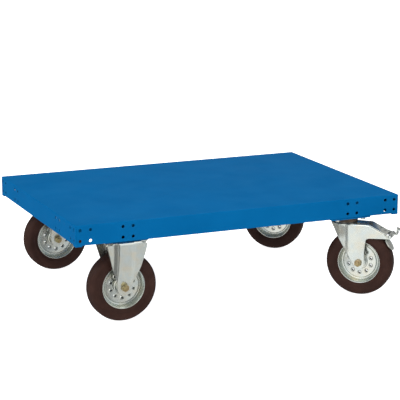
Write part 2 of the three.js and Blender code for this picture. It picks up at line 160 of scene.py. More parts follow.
def filleted(corners, radii, steps=5):
    """Closed outline with each corner rounded to its radius."""
    if not isinstance(radii, (list, tuple)):
        radii = [radii] * len(corners)
    straight, most_cut = radians(89), 0.48
    outline = []
    for i, (corner, radius) in enumerate(zip(corners, radii)):
        here = Vector(corner)
        before = Vector(corners[i - 1]) - here
        after = Vector(corners[(i + 1) % len(corners)]) - here
        half = before.angle(after) / 2
        if radius <= 0 or half > straight:
            outline.append(tuple(here))
            continue
        cut = min(radius / tan(half), most_cut * min(before.length, after.length))
        before.normalize()
        after.normalize()
        centre = here + (before + after).normalized() * (cut * tan(half) / sin(half))
        first = here + before * cut - centre
        sweep = first.angle_signed(here + after * cut - centre)
        for k in range(steps + 1):
            sine, cosine = sin(-sweep * k / steps), cos(-sweep * k / steps)
            outline.append((centre.x + first.x * cosine - first.y * sine,
                            centre.y + first.x * sine + first.y * cosine))
    return outline


def arc(centre, radius, start, end, steps):
    """Points on an arc, angles in degrees."""
    points = []
    for k in range(steps + 1):
        angle = radians(start + (end - start) * k / steps)
        points.append((centre[0] + radius * cos(angle), centre[1] + radius * sin(angle)))
    return points


def between(start, end, places, steps=8):
    """Points at the given places out of the steps from start to end."""
    return [tuple(a + (b - a) * k / steps for a, b in zip(start, end)) for k in places]


def ring(radius, height, turns):
    angles = [2 * pi * k / turns for k in range(turns)]
    return [(radius * cos(angle), radius * sin(angle), height) for angle in angles]


def stacked(rings, closed=False):
    """Shape from rings of points. A closed stack joins its ends, an open one is capped."""
    turns, levels = len(rings[0]), len(rings)
    faces = []
    for i in range(levels if closed else levels - 1):
        low, high = i * turns, (i + 1) % levels * turns
        for k in range(turns):
            j = (k + 1) % turns
            faces.append((low + k, low + j, high + j, high + k))
    if not closed:
        faces.append(tuple(range(turns)))
        faces.append(tuple(range((levels - 1) * turns, levels * turns)))
    return [point for points in rings for point in points], faces


def turned(profile, turns=48, hollow=False):
    """Profile of (radius, height) turned about Z. A hollow one closes on itself."""
    return stacked([ring(radius, height, turns) for radius, height in profile], hollow)


def turned_ring(corners, radii, turns, steps=5):
    """Ring turned from a section whose corners are rounded."""
    return turned(filleted(corners, radii, steps), turns, hollow=True)


def bar(radius, low, high, turns=24):
    return turned([(radius, low), (radius, high)], turns)


def tube(inner, outer, half, turns=40):
    """Tube about the middle plane with chamfered edges."""
    ease = 0.6
    return turned(mirrored([(inner, -half + ease), (inner + ease, -half), (outer - ease, -half),
                            (outer, -half + ease)]), turns, hollow=True)


def prism(outline, low, high):
    """Flat outline in XY given height from low to high."""
    count = len(outline)
    points = [(x, y, low) for x, y in outline] + [(x, y, high) for x, y in outline]
    faces = [tuple(range(count)), tuple(range(count, 2 * count))]
    for k in range(count):
        j = (k + 1) % count
        faces.append((k, j, count + j, count + k))
    return points, faces


def upright(shape):
    """Turns a prism drawn in XY so that it stands in XZ, with its thickness along Y."""
    points, faces = shape
    return [(x, z, y) for x, y, z in points], faces


def thick_sheet(rows, thickness):
    """Closed sheet from a grid of points on its outer side, given thickness away from its normals."""
    tall, wide = len(rows), len(rows[0])
    grid = [[Vector(p) for p in row] for row in rows]
    points = [p for row in grid for p in row]
    for i in range(tall):
        for j in range(wide):
            along = grid[min(i + 1, tall - 1)][j] - grid[max(i - 1, 0)][j]
            across = grid[i][min(j + 1, wide - 1)] - grid[i][max(j - 1, 0)]
            points.append(grid[i][j] - along.cross(across).normalized() * thickness)
    back = tall * wide
    faces = []
    for i in range(tall - 1):
        for j in range(wide - 1):
            a, b = i * wide + j, i * wide + j + 1
            c, d = b + wide, a + wide
            faces.append((a, b, c, d))
            faces.append((back + d, back + c, back + b, back + a))
    rim = list(range(wide)) + [i * wide + wide - 1 for i in range(1, tall)]
    rim += [(tall - 1) * wide + j for j in range(wide - 2, -1, -1)]
    rim += [i * wide for i in range(tall - 2, 0, -1)]
    for a, b in zip(rim, rim[1:] + rim[:1]):
        faces.append((b, a, back + a, back + b))
    return points, faces


def smooth_step(low, high, value):
    t = min(max((value - low) / (high - low), 0), 1)
    return t * t * (3 - 2 * t)


# ---- pieces ----


def in_scene(name, data):
    """New object of the scene."""
    made = bpy.data.objects.new(name, data)
    bpy.context.scene.collection.objects.link(made)
    return made


def raw_object(name, shape):
    """Object in metres from a shape in millimetres, with its faces pointing out."""
    points, faces = shape
    mesh = bpy.data.meshes.new(name)
    mesh.from_pydata([tuple(Vector(p) * MM) for p in points], [], faces)
    body = bmesh.new()
    body.from_mesh(mesh)
    bmesh.ops.remove_doubles(body, verts=body.verts, dist=1e-7)
    bmesh.ops.recalc_face_normals(body, faces=body.faces)
    body.to_mesh(mesh)
    body.free()
    return in_scene(name, mesh)


def settled(piece):
    """Applies the piece's modifiers."""
    shown = piece.evaluated_get(bpy.context.evaluated_depsgraph_get())
    mesh = bpy.data.meshes.new_from_object(shown)
    piece.modifiers.clear()
    piece.data = mesh
    return piece


def shaded(piece, sharp=32):
    """Smooth shading that stays crisp along edges sharper than the given angle."""
    body = bmesh.new()
    body.from_mesh(piece.data)
    limit = radians(sharp)
    for face in body.faces:
        face.smooth = True
    for edge in body.edges:
        edge.smooth = len(edge.link_faces) == 2 and edge.calc_face_angle(0) < limit
    body.to_mesh(piece.data)
    body.free()
    return piece


def carved(piece, cutter_shape):
    """Cuts a shape out of the piece."""
    cutter = raw_object("cutter", cutter_shape)
    cut = piece.modifiers.new("cut", "BOOLEAN")
    cut.operation = "DIFFERENCE"
    cut.solver = "EXACT"
    cut.object = cutter
    settled(piece)
    bpy.data.objects.remove(cutter)
    return piece


def eased(piece, width, angle=40):
    """Breaks the sharp edges by a small round."""
    bevel = piece.modifiers.new("ease", "BEVEL")
    bevel.width = width * MM
    bevel.segments = 2
    bevel.limit_method = "ANGLE"
    bevel.angle_limit = radians(angle)
    bevel.use_clamp_overlap = True
    return settled(piece)


def merged(name, pieces):
    """One object from several finished ones."""
    body = bmesh.new()
    for piece in pieces:
        body.from_mesh(piece.data)
    mesh = bpy.data.meshes.new(name)
    body.to_mesh(mesh)
    body.free()
    for piece in pieces:
        bpy.data.objects.remove(piece)
    return in_scene(name, mesh)


def dressed(piece, material, body, *nodes):
    """Gives a piece its material, slot and body, and hides the CAD nodes it stands for."""
    piece.data.transform(piece.matrix_world)
    piece.matrix_world = Matrix.Identity(4)
    if not piece.data.materials:
        piece.data.materials.append(material)
    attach(piece, body)
    if nodes:
        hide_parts(*nodes)


def copy_of(pattern, name, matrix):
    """Another piece with a copy of the pattern's mesh."""
    piece = in_scene(name, pattern.data.copy())
    piece.matrix_world = matrix
    return piece


def pattern_of(piece, material, sharp=30):
    """Finishes a pattern, which is a piece that others are copied from."""
    shaded(piece, sharp)
    piece.data.materials.append(material)
    return piece


# ---- material groups ----


def new_group(name, inputs, outputs):
    """Empty shader group, its input values and its result node. Sockets are (name, kind, default)."""
    group = bpy.data.node_groups.new(name, "ShaderNodeTree")
    for label, kind, value in inputs:
        group.interface.new_socket(name=label, in_out="INPUT", socket_type=kind).default_value = value
    for label, kind in outputs:
        group.interface.new_socket(name=label, in_out="OUTPUT", socket_type=kind)
    return group, group.nodes.new("NodeGroupInput").outputs, group.nodes.new("NodeGroupOutput")


def node(tree, kind, links=None, **settings):
    """New node with its settings, and its inputs linked or set by name or number."""
    made = tree.nodes.new(kind)
    for key, value in settings.items():
        setattr(made, key, value)
    for key, value in (links or {}).items():
        socket = made.inputs[key]
        if isinstance(value, bpy.types.NodeSocket):
            tree.links.new(value, socket)
        else:
            socket.default_value = value
    return made


FLOAT = "NodeSocketFloat"
COLOUR = "NodeSocketColor"
VECTOR = "NodeSocketVector"


def ranged(tree, value, low, high, to_low=0.0, to_high=1.0):
    return node(tree, "ShaderNodeMapRange", {
        "Value": value, "From Min": low, "From Max": high, "To Min": to_low, "To Max": to_high,
    }).outputs["Result"]


def multiplied(tree, first, second):
    return node(tree, "ShaderNodeMath", {0: first, 1: second}, operation="MULTIPLY").outputs[0]


def mixed_value(tree, share, below, above):
    return node(tree, "ShaderNodeMix", {"Factor": share, 2: below, 3: above}, data_type="FLOAT").outputs[0]


def mixed_colour(tree, mask, below, above):
    return node(tree, "ShaderNodeMix", {"Factor": mask, 6: below, 7: above}, data_type="RGBA").outputs[2]


def own_place(tree):
    return node(tree, "ShaderNodeTexCoord").outputs["Object"]


def clouds(tree, place, size, detail, roughness=0.5):
    return node(tree, "ShaderNodeTexNoise", {
        "Vector": place, "Scale": size, "Detail": detail, "Roughness": roughness,
    }).outputs["Fac"]


def build_patches():
    """Soft cloudy patches: moves a colour towards two tints and varies the roughness."""
    grey = (0.5, 0.5, 0.5, 1)
    group, given, leave = new_group("Soft patches", [
        ("Base", COLOUR, grey), ("Tint A", COLOUR, grey), ("Tint B", COLOUR, grey), ("Amount", FLOAT, 0.5),
        ("Size", FLOAT, 30.0), ("Roughness", FLOAT, 0.4), ("Roughness Spread", FLOAT, 0.05),
    ], [("Colour", COLOUR), ("Roughness", FLOAT)])
    place = own_place(group)
    colour, masks = given["Base"], []
    for tint, offset in (("Tint A", 0.0), ("Tint B", 3.7)):
        shifted = node(group, "ShaderNodeVectorMath", {0: place, 1: (offset,) * 3}, operation="ADD")
        cloud = ranged(group, clouds(group, shifted.outputs[0], given["Size"], 4.0, 0.55), 0.42, 0.66)
        masks.append(multiplied(group, cloud, given["Amount"]))
        colour = mixed_colour(group, masks[-1], colour, given[tint])
    spread = node(group, "ShaderNodeMath", {
        0: masks[0], 1: given["Roughness Spread"], 2: given["Roughness"],
    }, operation="MULTIPLY_ADD").outputs[0]
    group.links.new(colour, leave.inputs["Colour"])
    group.links.new(spread, leave.inputs["Roughness"])
    return group


def build_fine_grain():
    """Fine surface grain as a height, with a stretch along one direction for drawn metal."""
    group, given, leave = new_group("Fine grain", [
        ("Size", FLOAT, 600.0), ("Stretch", VECTOR, (1.0, 1.0, 1.0)), ("Coarse Share", FLOAT, 0.4),
    ], [("Height", FLOAT)])
    place = node(group, "ShaderNodeVectorMath", {0: own_place(group), 1: given["Stretch"]},
                 operation="MULTIPLY").outputs[0]
    fine = clouds(group, place, given["Size"], 3.0)
    coarse = clouds(group, place, multiplied(group, given["Size"], 0.22), 1.0)
    group.links.new(mixed_value(group, given["Coarse Share"], fine, coarse), leave.inputs["Height"])
    return group


def build_mask(name, inputs, build):
    """Group with a mask: two measures made by the given function, and their product scaled by Amount."""
    group, given, leave = new_group(name, inputs, [("Mask", FLOAT)])
    first, second = build(group, given, node(group, "ShaderNodeNewGeometry").outputs["Normal"])
    product = multiplied(group, first, second)
    group.links.new(multiplied(group, product, given["Amount"]), leave.inputs["Mask"])
    return group


# Mask along rounded edges: on the blue paint it lightens them as a painted highlight along the bends, on the
# metal it is rubbed wear.
def rubbed_and_highlit_edges(group, given, normal):
    rounded = node(group, "ShaderNodeBevel", {"Radius": given["Reach"]}, samples=4).outputs["Normal"]
    bent = node(group, "ShaderNodeVectorMath", {0: rounded, 1: normal}, operation="DOT_PRODUCT")
    broken = clouds(group, own_place(group), given["Breakup"], 3.0)
    return ranged(group, bent.outputs["Value"], 0.995, 0.93), ranged(group, broken, 0.4, 0.62)


def upward_faces(group, given, normal):
    up = node(group, "ShaderNodeSeparateXYZ", {0: normal}).outputs["Z"]
    cloud = clouds(group, own_place(group), given["Size"], 6.0)
    return ranged(group, up, 0.2, 0.95), ranged(group, cloud, 0.38, 0.7)


SOFT_PATCHES = build_patches()
FINE_GRAIN = build_fine_grain()
# Edge mask: wear on the plated metal, a painted highlight along the bends on the blue paint.
EDGE_WEAR_AND_HIGHLIGHT = build_mask("Edge wear and painted highlight", [
    ("Reach", FLOAT, 0.0012), ("Breakup", FLOAT, 90.0), ("Amount", FLOAT, 0.5)], rubbed_and_highlit_edges)
SETTLED_DUST = build_mask("Settled dust", [("Size", FLOAT, 14.0), ("Amount", FLOAT, 0.2)], upward_faces)


# ---- materials ----


def linear(red, green, blue):
    """Linear colour from 0-255 display values."""
    def one(value):
        value /= 255
        return value / 12.92 if value <= 0.04045 else ((value + 0.055) / 1.055) ** 2.4
    return one(red), one(green), one(blue), 1.0


def new_material(name, **constants):
    """Material with a Principled shader whose plain sockets are set by name."""
    material = bpy.data.materials.new(name)
    material.use_nodes = True
    shader = material.node_tree.nodes["Principled BSDF"]
    for key, value in constants.items():
        shader.inputs[key.replace("_", " ")].default_value = value
    return material, material.node_tree, shader


def grouped(tree, group, **values):
    made = tree.nodes.new("ShaderNodeGroup")
    made.node_tree = group
    for key, value in values.items():
        made.inputs[key.replace("_", " ")].default_value = value
    return made.outputs


def coated(name, colours, patches, layers, grain, bump, **constants):
    """Cloudy base colour with two tints, masked layers over it, and a fine grain.

    A layer is (group, its values, colour); the bump is (strength, distance).
    """
    material, tree, shader = new_material(name, **constants)
    base, tint_a, tint_b = (linear(*colour) for colour in colours)
    cloudy = grouped(tree, SOFT_PATCHES, Base=base, Tint_A=tint_a, Tint_B=tint_b, **patches)
    colour = cloudy["Colour"]
    for group, values, above in layers:
        colour = mixed_colour(tree, grouped(tree, group, **values)["Mask"], colour, linear(*above))
    tree.links.new(colour, shader.inputs["Base Color"])
    tree.links.new(cloudy["Roughness"], shader.inputs["Roughness"])
    height = grouped(tree, FINE_GRAIN, **grain)["Height"]
    bumped = node(tree, "ShaderNodeBump", {"Height": height, "Strength": bump[0], "Distance": bump[1]})
    tree.links.new(bumped.outputs["Normal"], shader.inputs["Normal"])
    return material


def blue_paint(name, *colours):
    return coated(
        name, colours, dict(Amount=0.6, Size=7.0, Roughness=0.4, Roughness_Spread=0.06),
        # Lighter blue along the edges: partly edge wear, partly a painted highlight along the bends.
        [(EDGE_WEAR_AND_HIGHLIGHT, dict(Reach=0.0011, Breakup=70.0, Amount=0.3), (70, 140, 190)),
         (SETTLED_DUST, dict(Size=9.0, Amount=0.12), (40, 112, 160))],
        dict(Size=420.0, Coarse_Share=0.7), (0.12, 0.0004), Metallic=0.0, Specular_IOR_Level=0.005)


def plated(name, *colours, roughness, stretch=(1.0, 1.0, 1.0)):
    """Plated or bare steel with slightly rubbed edges."""
    return coated(
        name, colours, dict(Amount=0.6, Size=38.0, Roughness=roughness, Roughness_Spread=0.06),
        [(EDGE_WEAR_AND_HIGHLIGHT, dict(Reach=0.0008, Breakup=160.0, Amount=0.5), (225, 228, 226))],
        dict(Size=520.0, Stretch=stretch, Coarse_Share=0.45), (0.03, 0.0001), Metallic=0.9)


BLUE = blue_paint("Blue stove enamel", (5, 92, 147), (4, 88, 142), (7, 96, 152))
# Darker blue for the deck's inside faces: painted shade, so the hollow and the skirt holes look dark.
INSIDE_SHADE_BLUE = blue_paint("Blue darkened as painted shade inside the deck", (2, 40, 70), (2, 34, 60), (4, 48, 80))
ZINC = plated("Bright zinc plate", (212, 216, 208), (216, 210, 192), (198, 210, 212), roughness=0.18)
YELLOW_ZINC = plated("Yellow zinc plate", (176, 158, 112), (182, 150, 118), (160, 160, 116), roughness=0.36)
BEARING = plated("Bare bearing steel", (150, 152, 153), (132, 134, 136), (164, 162, 158), roughness=0.25,
                 stretch=(1.0, 1.0, 6.0))
RUBBER = coated(
    "Brown-black tyre rubber", [(52, 31, 25), (64, 41, 34), (42, 25, 20)],
    dict(Amount=0.7, Size=22.0, Roughness=0.55, Roughness_Spread=0.12),
    [(SETTLED_DUST, dict(Size=30.0, Amount=0.1), (120, 104, 94))],
    dict(Size=900.0, Coarse_Share=0.5), (0.35, 0.0004), Metallic=0.0, Specular_IOR_Level=0.14)
SEAL = coated(
    "Brown seal plastic", [(74, 58, 44), (98, 78, 58), (52, 42, 34)],
    dict(Amount=0.7, Size=60.0, Roughness=0.5, Roughness_Spread=0.1), [],
    dict(Size=700.0, Coarse_Share=0.3), (0.2, 0.0002), Metallic=0.0)


# ---- deck ----


def skirt_section(lip):
    """Skirt section as (distance in from the side, height), from the top face round to the underside."""
    bend, low_bend, ease = 3.0, 2.8, 0.5
    section = arc((bend, -bend), bend, 90, 180, 6)
    if lip:
        low, edge = SKIRT_BOTTOM, SHEET + LIP_WIDTH
        section += arc((low_bend, low + low_bend), low_bend, 180, 270, 5)
        section += [(edge - ease, low), (edge, low + ease), (edge, low + SHEET - ease),
                    (edge - ease, low + SHEET), (SHEET + ease, low + SHEET), (SHEET, low + SHEET + ease)]
    else:
        low = SKIRT_BOTTOM - CORNER_DROP
        section += arc((ease, low + ease), ease, 180, 270, 5)
        section += [(1.0, low), (1.4, low), (SHEET - ease, low), (SHEET - 0.15, low + 0.15)]
        section += [(SHEET, low + ease), (SHEET, SKIRT_BOTTOM + SHEET + ease)]
    section += [(SHEET, -SHEET - ease), (SHEET + ease, -SHEET)]
    return section


def deck_stations():
    """Places round the deck: (corner signs, kind, slide or plan angle, along Y, lip)."""
    stations = []
    step_in = 0.3
    for sx, sy, first_angle in ((1, 1, 0), (-1, 1, 90), (-1, -1, 180), (1, -1, 270)):
        along_y = first_angle in (0, 180)
        stations += [(sx, sy, "slide", CORNER_TAB + step_in, along_y, True),
                     (sx, sy, "slide", CORNER_TAB, along_y, False)]
        stations += [(sx, sy, "turn", radians(first_angle + 30 * k), None, False) for k in range(4)]
        stations += [(sx, sy, "slide", CORNER_TAB, not along_y, False),
                     (sx, sy, "slide", CORNER_TAB + step_in, not along_y, True)]
    return stations


def deck_point(station, inward, height):
    sx, sy, kind, amount, along_y, _ = station
    corner_radius, least_radius = 1.4, 0.06
    if kind == "turn":
        radius = max(corner_radius - inward, least_radius)
        x = sx * (DECK_HALF_LENGTH - inward - radius) + radius * cos(amount)
        y = sy * (DECK_HALF_WIDTH - inward - radius) + radius * sin(amount)
        return x, y, height
    slide = max(amount, inward + 0.4)
    if along_y:
        return sx * (DECK_HALF_LENGTH - inward), sy * (DECK_HALF_WIDTH - slide), height
    return sx * (DECK_HALF_LENGTH - slide), sy * (DECK_HALF_WIDTH - inward), height


def deck_shape():
    stations = deck_stations()
    sections = [[deck_point(s, d, z) for d, z in skirt_section(s[-1])] for s in stations]
    size = len(sections[0])
    count = len(sections)
    points = [p for section in sections for p in section]
    faces = []
    for i in range(count):
        j = (i + 1) % count
        for k in range(size - 1):
            faces.append((i * size + k, i * size + k + 1, j * size + k + 1, j * size + k))
    faces.append(tuple(i * size for i in range(count)))
    faces.append(tuple(i * size + size - 1 for i in range(count)))
    return points, faces


def hole_stations(half):
    """Places of the skirt holes along a side, from the middle of it."""
    edge, pitch, group = 14, 30, 125
    from_corner = (edge, edge + pitch, edge + group, edge + group + pitch)
    return [sign * (half - offset) for sign in (-1, 1) for offset in from_corner]


def skirt_hole_cutters():
    """Punches with a slight flare on the outer face, axis along Z, outer face at height 0."""
    punch = turned([(HOLE_RADIUS + 0.9, -1.0), (HOLE_RADIUS + 0.4, 0.0), (HOLE_RADIUS, 0.45),
                    (HOLE_RADIUS, 6.0)], 32)
    cutters = []
    first_row, pitch = -14.4, 30
    for height in (first_row, first_row - pitch):
        for side in (-1, 1):
            into_y = spun(side * pi / 2, "X")
            into_x = spun(-side * pi / 2, "Y")
            for x in hole_stations(DECK_HALF_LENGTH):
                cutters.append(moved(punch, at(x, side * DECK_HALF_WIDTH, height) @ into_y))
            for y in hole_stations(DECK_HALF_WIDTH):
                cutters.append(moved(punch, at(side * DECK_HALF_LENGTH, y, height) @ into_x))
    return joined(cutters)


def corner_seam_cutters():
    """Fine open joint beside each corner, where one skirt's edge meets the other."""
    width, depth, inset, top = 0.45, 0.5, 2.6, -6
    seams = []
    for sx, sy in FOUR_CORNERS:
        x, y = sx * (DECK_HALF_LENGTH - inset), sy * DECK_HALF_WIDTH
        slot = rectangle(x - width / 2, y - depth, x + width / 2, y + depth)
        seams.append(prism(slot, SKIRT_BOTTOM - CORNER_DROP - 1, top))
    return joined(seams)


def make_deck():
    """Folded deck. Its inside faces, and the underside of its top, get a darker blue: painted shade that
    keeps the hollow and the skirt holes dark.
    """
    deck = raw_object("deck_sheet", deck_shape())
    carved(deck, skirt_hole_cutters())
    carved(deck, corner_seam_cutters())
    shaded(deck)
    dressed(deck, BLUE, "root", "deck")
    deck.data.materials.append(INSIDE_SHADE_BLUE)
    # Faces turned inwards and the underside of the top take the darker blue, painted shade.
    for face in deck.data.polygons:
        outward = face.normal.x * face.center.x + face.normal.y * face.center.y
        under_top = face.normal.z < -0.5 and face.center.z > deck_high.z * MM - 0.02
        if under_top or (abs(face.normal.z) < 0.5 and outward < 0):
            face.material_index = 1


def make_stiffener(name):
    """Channel under the deck top: a bent sheet, open upwards, with rounded bends."""
    low, high = box_mm(name)
    bend, sheet = 3.5, 2.0
    half = (high.y - low.y) / 2
    centre = (high.y + low.y) / 2
    section = [(half, high.z)] + arc((half - bend, low.z + bend), bend, 0, -90, 6)
    section += [(-y, z) for y, z in reversed(section)]
    rows = [[(x, centre + y, z) for y, z in section] for x in (low.x, high.x)]
    channel = raw_object(name + "_channel", thick_sheet(rows, sheet))
    shaded(eased(channel, 0.3, angle=50), 30)
    dressed(channel, BLUE, "root", name)


def make_bearer(name):
    """Cross plate under the deck, with rounded corners and stitch welds where it meets the lips."""
    low, high = box_mm(name)
    outline = filleted(rectangle(low.x, low.y, high.x, high.y), 6)
    plate = eased(raw_object(name + "_plate", prism(outline, low.z, high.z)), 0.6)
    drop = turned([(0.3, -1.3), (1.6, -1.0), (2.1, 0.0), (1.6, 1.0), (0.3, 1.3)], 14)
    drops_in_row, pitch = 9, 3.0
    welds = []
    for x in (low.x, high.x):
        for y in (low.y + 10, high.y - 34):
            welds += [moved(drop, at(x, y + k * pitch, high.z + 0.2)) for k in range(drops_in_row)]
    whole = merged(name + "_plate", [plate, raw_object("weld", joined(welds))])
    dressed(shaded(whole), BLUE, "root", name)


# ---- fasteners ----


def hexagon(flats, height, bore=0.0, chamfered=(True, True), turns=60):
    """Hex head or nut from Z = 0 up, its corners chamfered to a cone at the chosen ends."""
    apothem = flats / 2
    crown = apothem * 0.94
    slope = tan(radians(28))
    low_ring, high_ring = [], []
    for k in range(turns):
        angle = 2 * pi * k / turns
        fold = (angle + pi / 6) % (pi / 3) - pi / 6
        radius = apothem / cos(fold)
        drop = (radius - crown) * slope
        x, y = radius * cos(angle), radius * sin(angle)
        low_ring.append((x, y, drop if chamfered[0] else 0.0))
        high_ring.append((x, y, height - (drop if chamfered[1] else 0.0)))
    rings = [ring(crown, 0.0, turns), low_ring, high_ring, ring(crown, height, turns)]
    if bore:
        rings += [ring(bore + 0.5, height, turns), ring(bore, height - 0.5, turns),
                  ring(bore, 0.5, turns), ring(bore + 0.5, 0.0, turns)]
    return stacked(rings, closed=bool(bore))


def threaded_rod(radius, low, high, pitch=1.25, turns=24):
    """Bar with thread rings and a chamfered end at the top."""
    profile = [(radius * 0.93, low)]
    depth = pitch * 0.3
    level = low + pitch / 2
    while level < high - pitch:
        profile += [(radius, level), (radius - depth, level + pitch / 2)]
        level += pitch
    profile += [(radius * 0.96, high - 0.9), (radius * 0.72, high)]
    return turned(profile, turns)


def washer(inner, outer, low, high):
    return turned([(inner, low), (outer - 0.25, low), (outer, low + 0.3), (outer, high - 0.3),
                   (outer - 0.25, high), (inner, high)], 36, hollow=True)


def make_mounting_bolts(name, centre_x, centre_y, spacing, plate_low):
    """Four bolts through a caster plate and its bearer, with washers and nuts above."""
    grip_top = BEARER_TOP - FLOOR
    lip_top = SKIRT_BOTTOM + SHEET - FLOOR
    flats, head, nut = 13, 5.3, 6.5
    hole, rim = 4.3, 8.0
    under = plate_low - 1.6
    sets = []
    for sx, sy in FOUR_CORNERS:
        x = centre_x + sx * spacing[0] / 2
        y = centre_y + sy * spacing[1] / 2
        over_lip = abs(y) > DECK_HALF_WIDTH - SHEET - LIP_WIDTH - rim
        seat = (lip_top if over_lip else grip_top) + 0.05
        one = joined([
            washer(hole, rim, under, plate_low - 0.05),
            moved(hexagon(flats, head), at(0, 0, under - head - 0.02)),
            threaded_rod(4.0, under - 1, seat + 1.6 + nut + 3.5),
            washer(hole, rim, seat, seat + 1.5),
            moved(hexagon(flats, nut, bore=3.4), at(0, 0, seat + 1.55)),
        ])
        turn = spun(0.4 + 0.9 * sx + 0.5 * sy, "Z")
        sets.append(moved(one, at(x, y, FLOOR) @ turn))
    dressed(shaded(raw_object(name, joined(sets))), ZINC, "root")


# ---- wheel: drawn about the Z axis, then laid along the axle ----


def tyre_profile():
    """Closed tyre section as (radius, distance from the middle plane)."""
    seat = BEAD_RADIUS + 0.6
    edge = WHEEL_HALF_WIDTH
    shoulder = 15.0
    half = [(seat - 0.9, 13.0), (seat, 17.5), (seat, 21.2), (seat + 0.9, 22.1), (seat + 2.6, 22.2),
            (seat + 3.6, 22.9), (seat + 6.0, 24.0), (seat + 8.0, 24.3), (seat + 8.5, 24.8),
            (seat + 9.6, 24.8), (seat + 10.1, 24.4), (78.0, edge - 0.3), (82.0, edge - 0.05)]
    half += arc((WHEEL_RADIUS - shoulder, edge - shoulder), shoulder, 90, 0, 12)
    return mirrored(half + [(WHEEL_RADIUS, 1.2), (WHEEL_RADIUS - 0.35, 0.8), (WHEEL_RADIUS - 0.35, 0.5),
                            (WHEEL_RADIUS, 0.25)])


RIM_DISC = 6.0


def rim_shape():
    """One pressed rim half, outer side at positive heights."""
    sheet, recess, back = 2.0, 2.15, 0.15
    boss = HUB_RADIUS + 0.3
    outside = [(boss, RIM_DISC), (boss, RIM_DISC + 0.9), (HUB_RADIUS + 2.6, RIM_DISC + 0.9), (24.0, RIM_DISC),
               (49.0, RIM_DISC), (51.3, recess), (55.6, recess), (BEAD_RADIUS - 3.2, 17.4),
               (BEAD_RADIUS - 1.6, 20.9), (BEAD_RADIUS + 0.2, 20.9)]
    rounds_out = [0, 0, 0.5, 0.8, 1.6, 1.6, 2.5, 3.0, 1.2, 0.4]
    inside = [(BEAD_RADIUS + 0.4, 19.3), (BEAD_RADIUS - 0.9, 17.6), (57.7, back), (49.6, back),
              (47.6, RIM_DISC - sheet), (boss, RIM_DISC - sheet)]
    rounds_in = [0, 0, 1.0, 0.6, 1.0, 0]
    return turned_ring(outside + inside, rounds_out + rounds_in, 96, 4)


def rim_half_piece():
    """Rim half with ten flared eyelets."""
    rim = raw_object("rim", rim_shape())
    eyelets, pitch_radius, hole, disc = 10, 35.0, 3.6, RIM_DISC
    collar = turned_ring([(hole, disc - 2.2), (hole, disc + 1.3), (4.9, disc + 1.5), (6.8, disc - 0.1),
                          (6.8, disc - 0.6), (4.6, disc - 2.2)], [0, 0.5, 0.6, 0.3, 0, 0], 28)
    drill = bar(hole + 0.25, disc - 6, disc + 4, 28)
    places = [spun(2 * pi * (k + 0.5) / eyelets, "Z") @ at(pitch_radius, 0, 0)
              for k in range(eyelets)]
    carved(rim, joined([moved(drill, place) for place in places]))
    return merged("rim_pattern", [rim, raw_object("collars", joined([moved(collar, p) for p in places]))])


def wheel_patterns():
    """Patterns shared by the four wheels. The nut is at +Z, which ONTO_AXLE turns to face -Y."""
    seat, flats, height = LEG_FACE + 0.3, 19, 8
    bolt = joined([
        moved(hexagon(flats, height, chamfered=(True, False)), at(0, 0, -seat - height)),
        threaded_rod(6, -seat - 0.5, seat + height + 3, pitch=1.5, turns=36),
    ])
    nut = moved(hexagon(flats, height, bore=5.2), at(0, 0, seat))
    spacer = tube(AXLE_BORE, 10, LEG_FACE - LEG_SHEET - 0.4)
    tyre = turned(tyre_profile(), 128, hollow=True)
    return {
        "tyre": pattern_of(raw_object("tyre_pattern", tyre), RUBBER),
        "rim": pattern_of(rim_half_piece(), ZINC),
        "hub_tube": pattern_of(raw_object("hub_pattern", tube(16, HUB_RADIUS, 26.3, 64)), ZINC),
        "bearing_sleeve": pattern_of(raw_object("sleeve_pattern", tube(10.3, 15.7, 25.4, 48)), BEARING),
        "axle_tube": pattern_of(raw_object("spacer_pattern", spacer), BEARING),
        "axle_bolt": pattern_of(raw_object("bolt_pattern", bolt), YELLOW_ZINC, 24),
        "axle_nut": pattern_of(raw_object("nut_pattern", nut), YELLOW_ZINC, 24),
    }


def placed(label, name, pattern, place, body):
    """Copy of a pattern, standing for the CAD node of that name."""
    piece = copy_of(pattern, f"{label}_{name}_visual", place)
    dressed(piece, pattern.data.materials[0], body, f"{label}_{name}")


def make_wheel(label, caster, trail, axle_body, patterns):
    """Wheel and its axle. caster is the caster's frame in metres."""
    outward = caster @ Matrix.Translation(Vector((trail, 0, AXLE_HEIGHT)) * MM) @ ONTO_AXLE
    wheel_body = f"{label}_wheel"
    placed(label, "tyre", patterns["tyre"], outward, wheel_body)
    placed(label, "rim_outer_half", patterns["rim"], outward, wheel_body)
    placed(label, "rim_inner_half", patterns["rim"], outward @ FLIPPED, wheel_body)
    for name in ("hub_tube", "bearing_sleeve"):
        placed(label, name, patterns[name], outward, wheel_body)
    for name in ("axle_tube", "axle_bolt", "axle_nut"):
        placed(label, name, patterns[name], outward, axle_body)


# ---- fixed bracket ----


def along(table, value):
    """Value read between the rows of a short falling table of (height, value)."""
    for (high, at_high), (low, at_low) in zip(table, table[1:]):
        if value >= low:
            share = (value - low) / (high - low)
            return at_low + (at_high - at_low) * min(max(share, 0), 1)
    return table[-1][1]


FACE_BY_HEIGHT = [(205, PLATE_HALF_WIDTH), (160, 49), (130, 40), (111, LEG_FACE), (0, LEG_FACE)]
HALF_BY_HEIGHT = [(229, 60), (205, 54), (160, 41.5), (130, 29.5), (111, 22.4)]


def softened(table, value, spread):
    """The table averaged over a spread of heights, which rounds its corners."""
    samples = 9
    values = [along(table, value + spread * (2 * k / (samples - 1) - 1)) for k in range(samples)]
    return sum(values) / samples


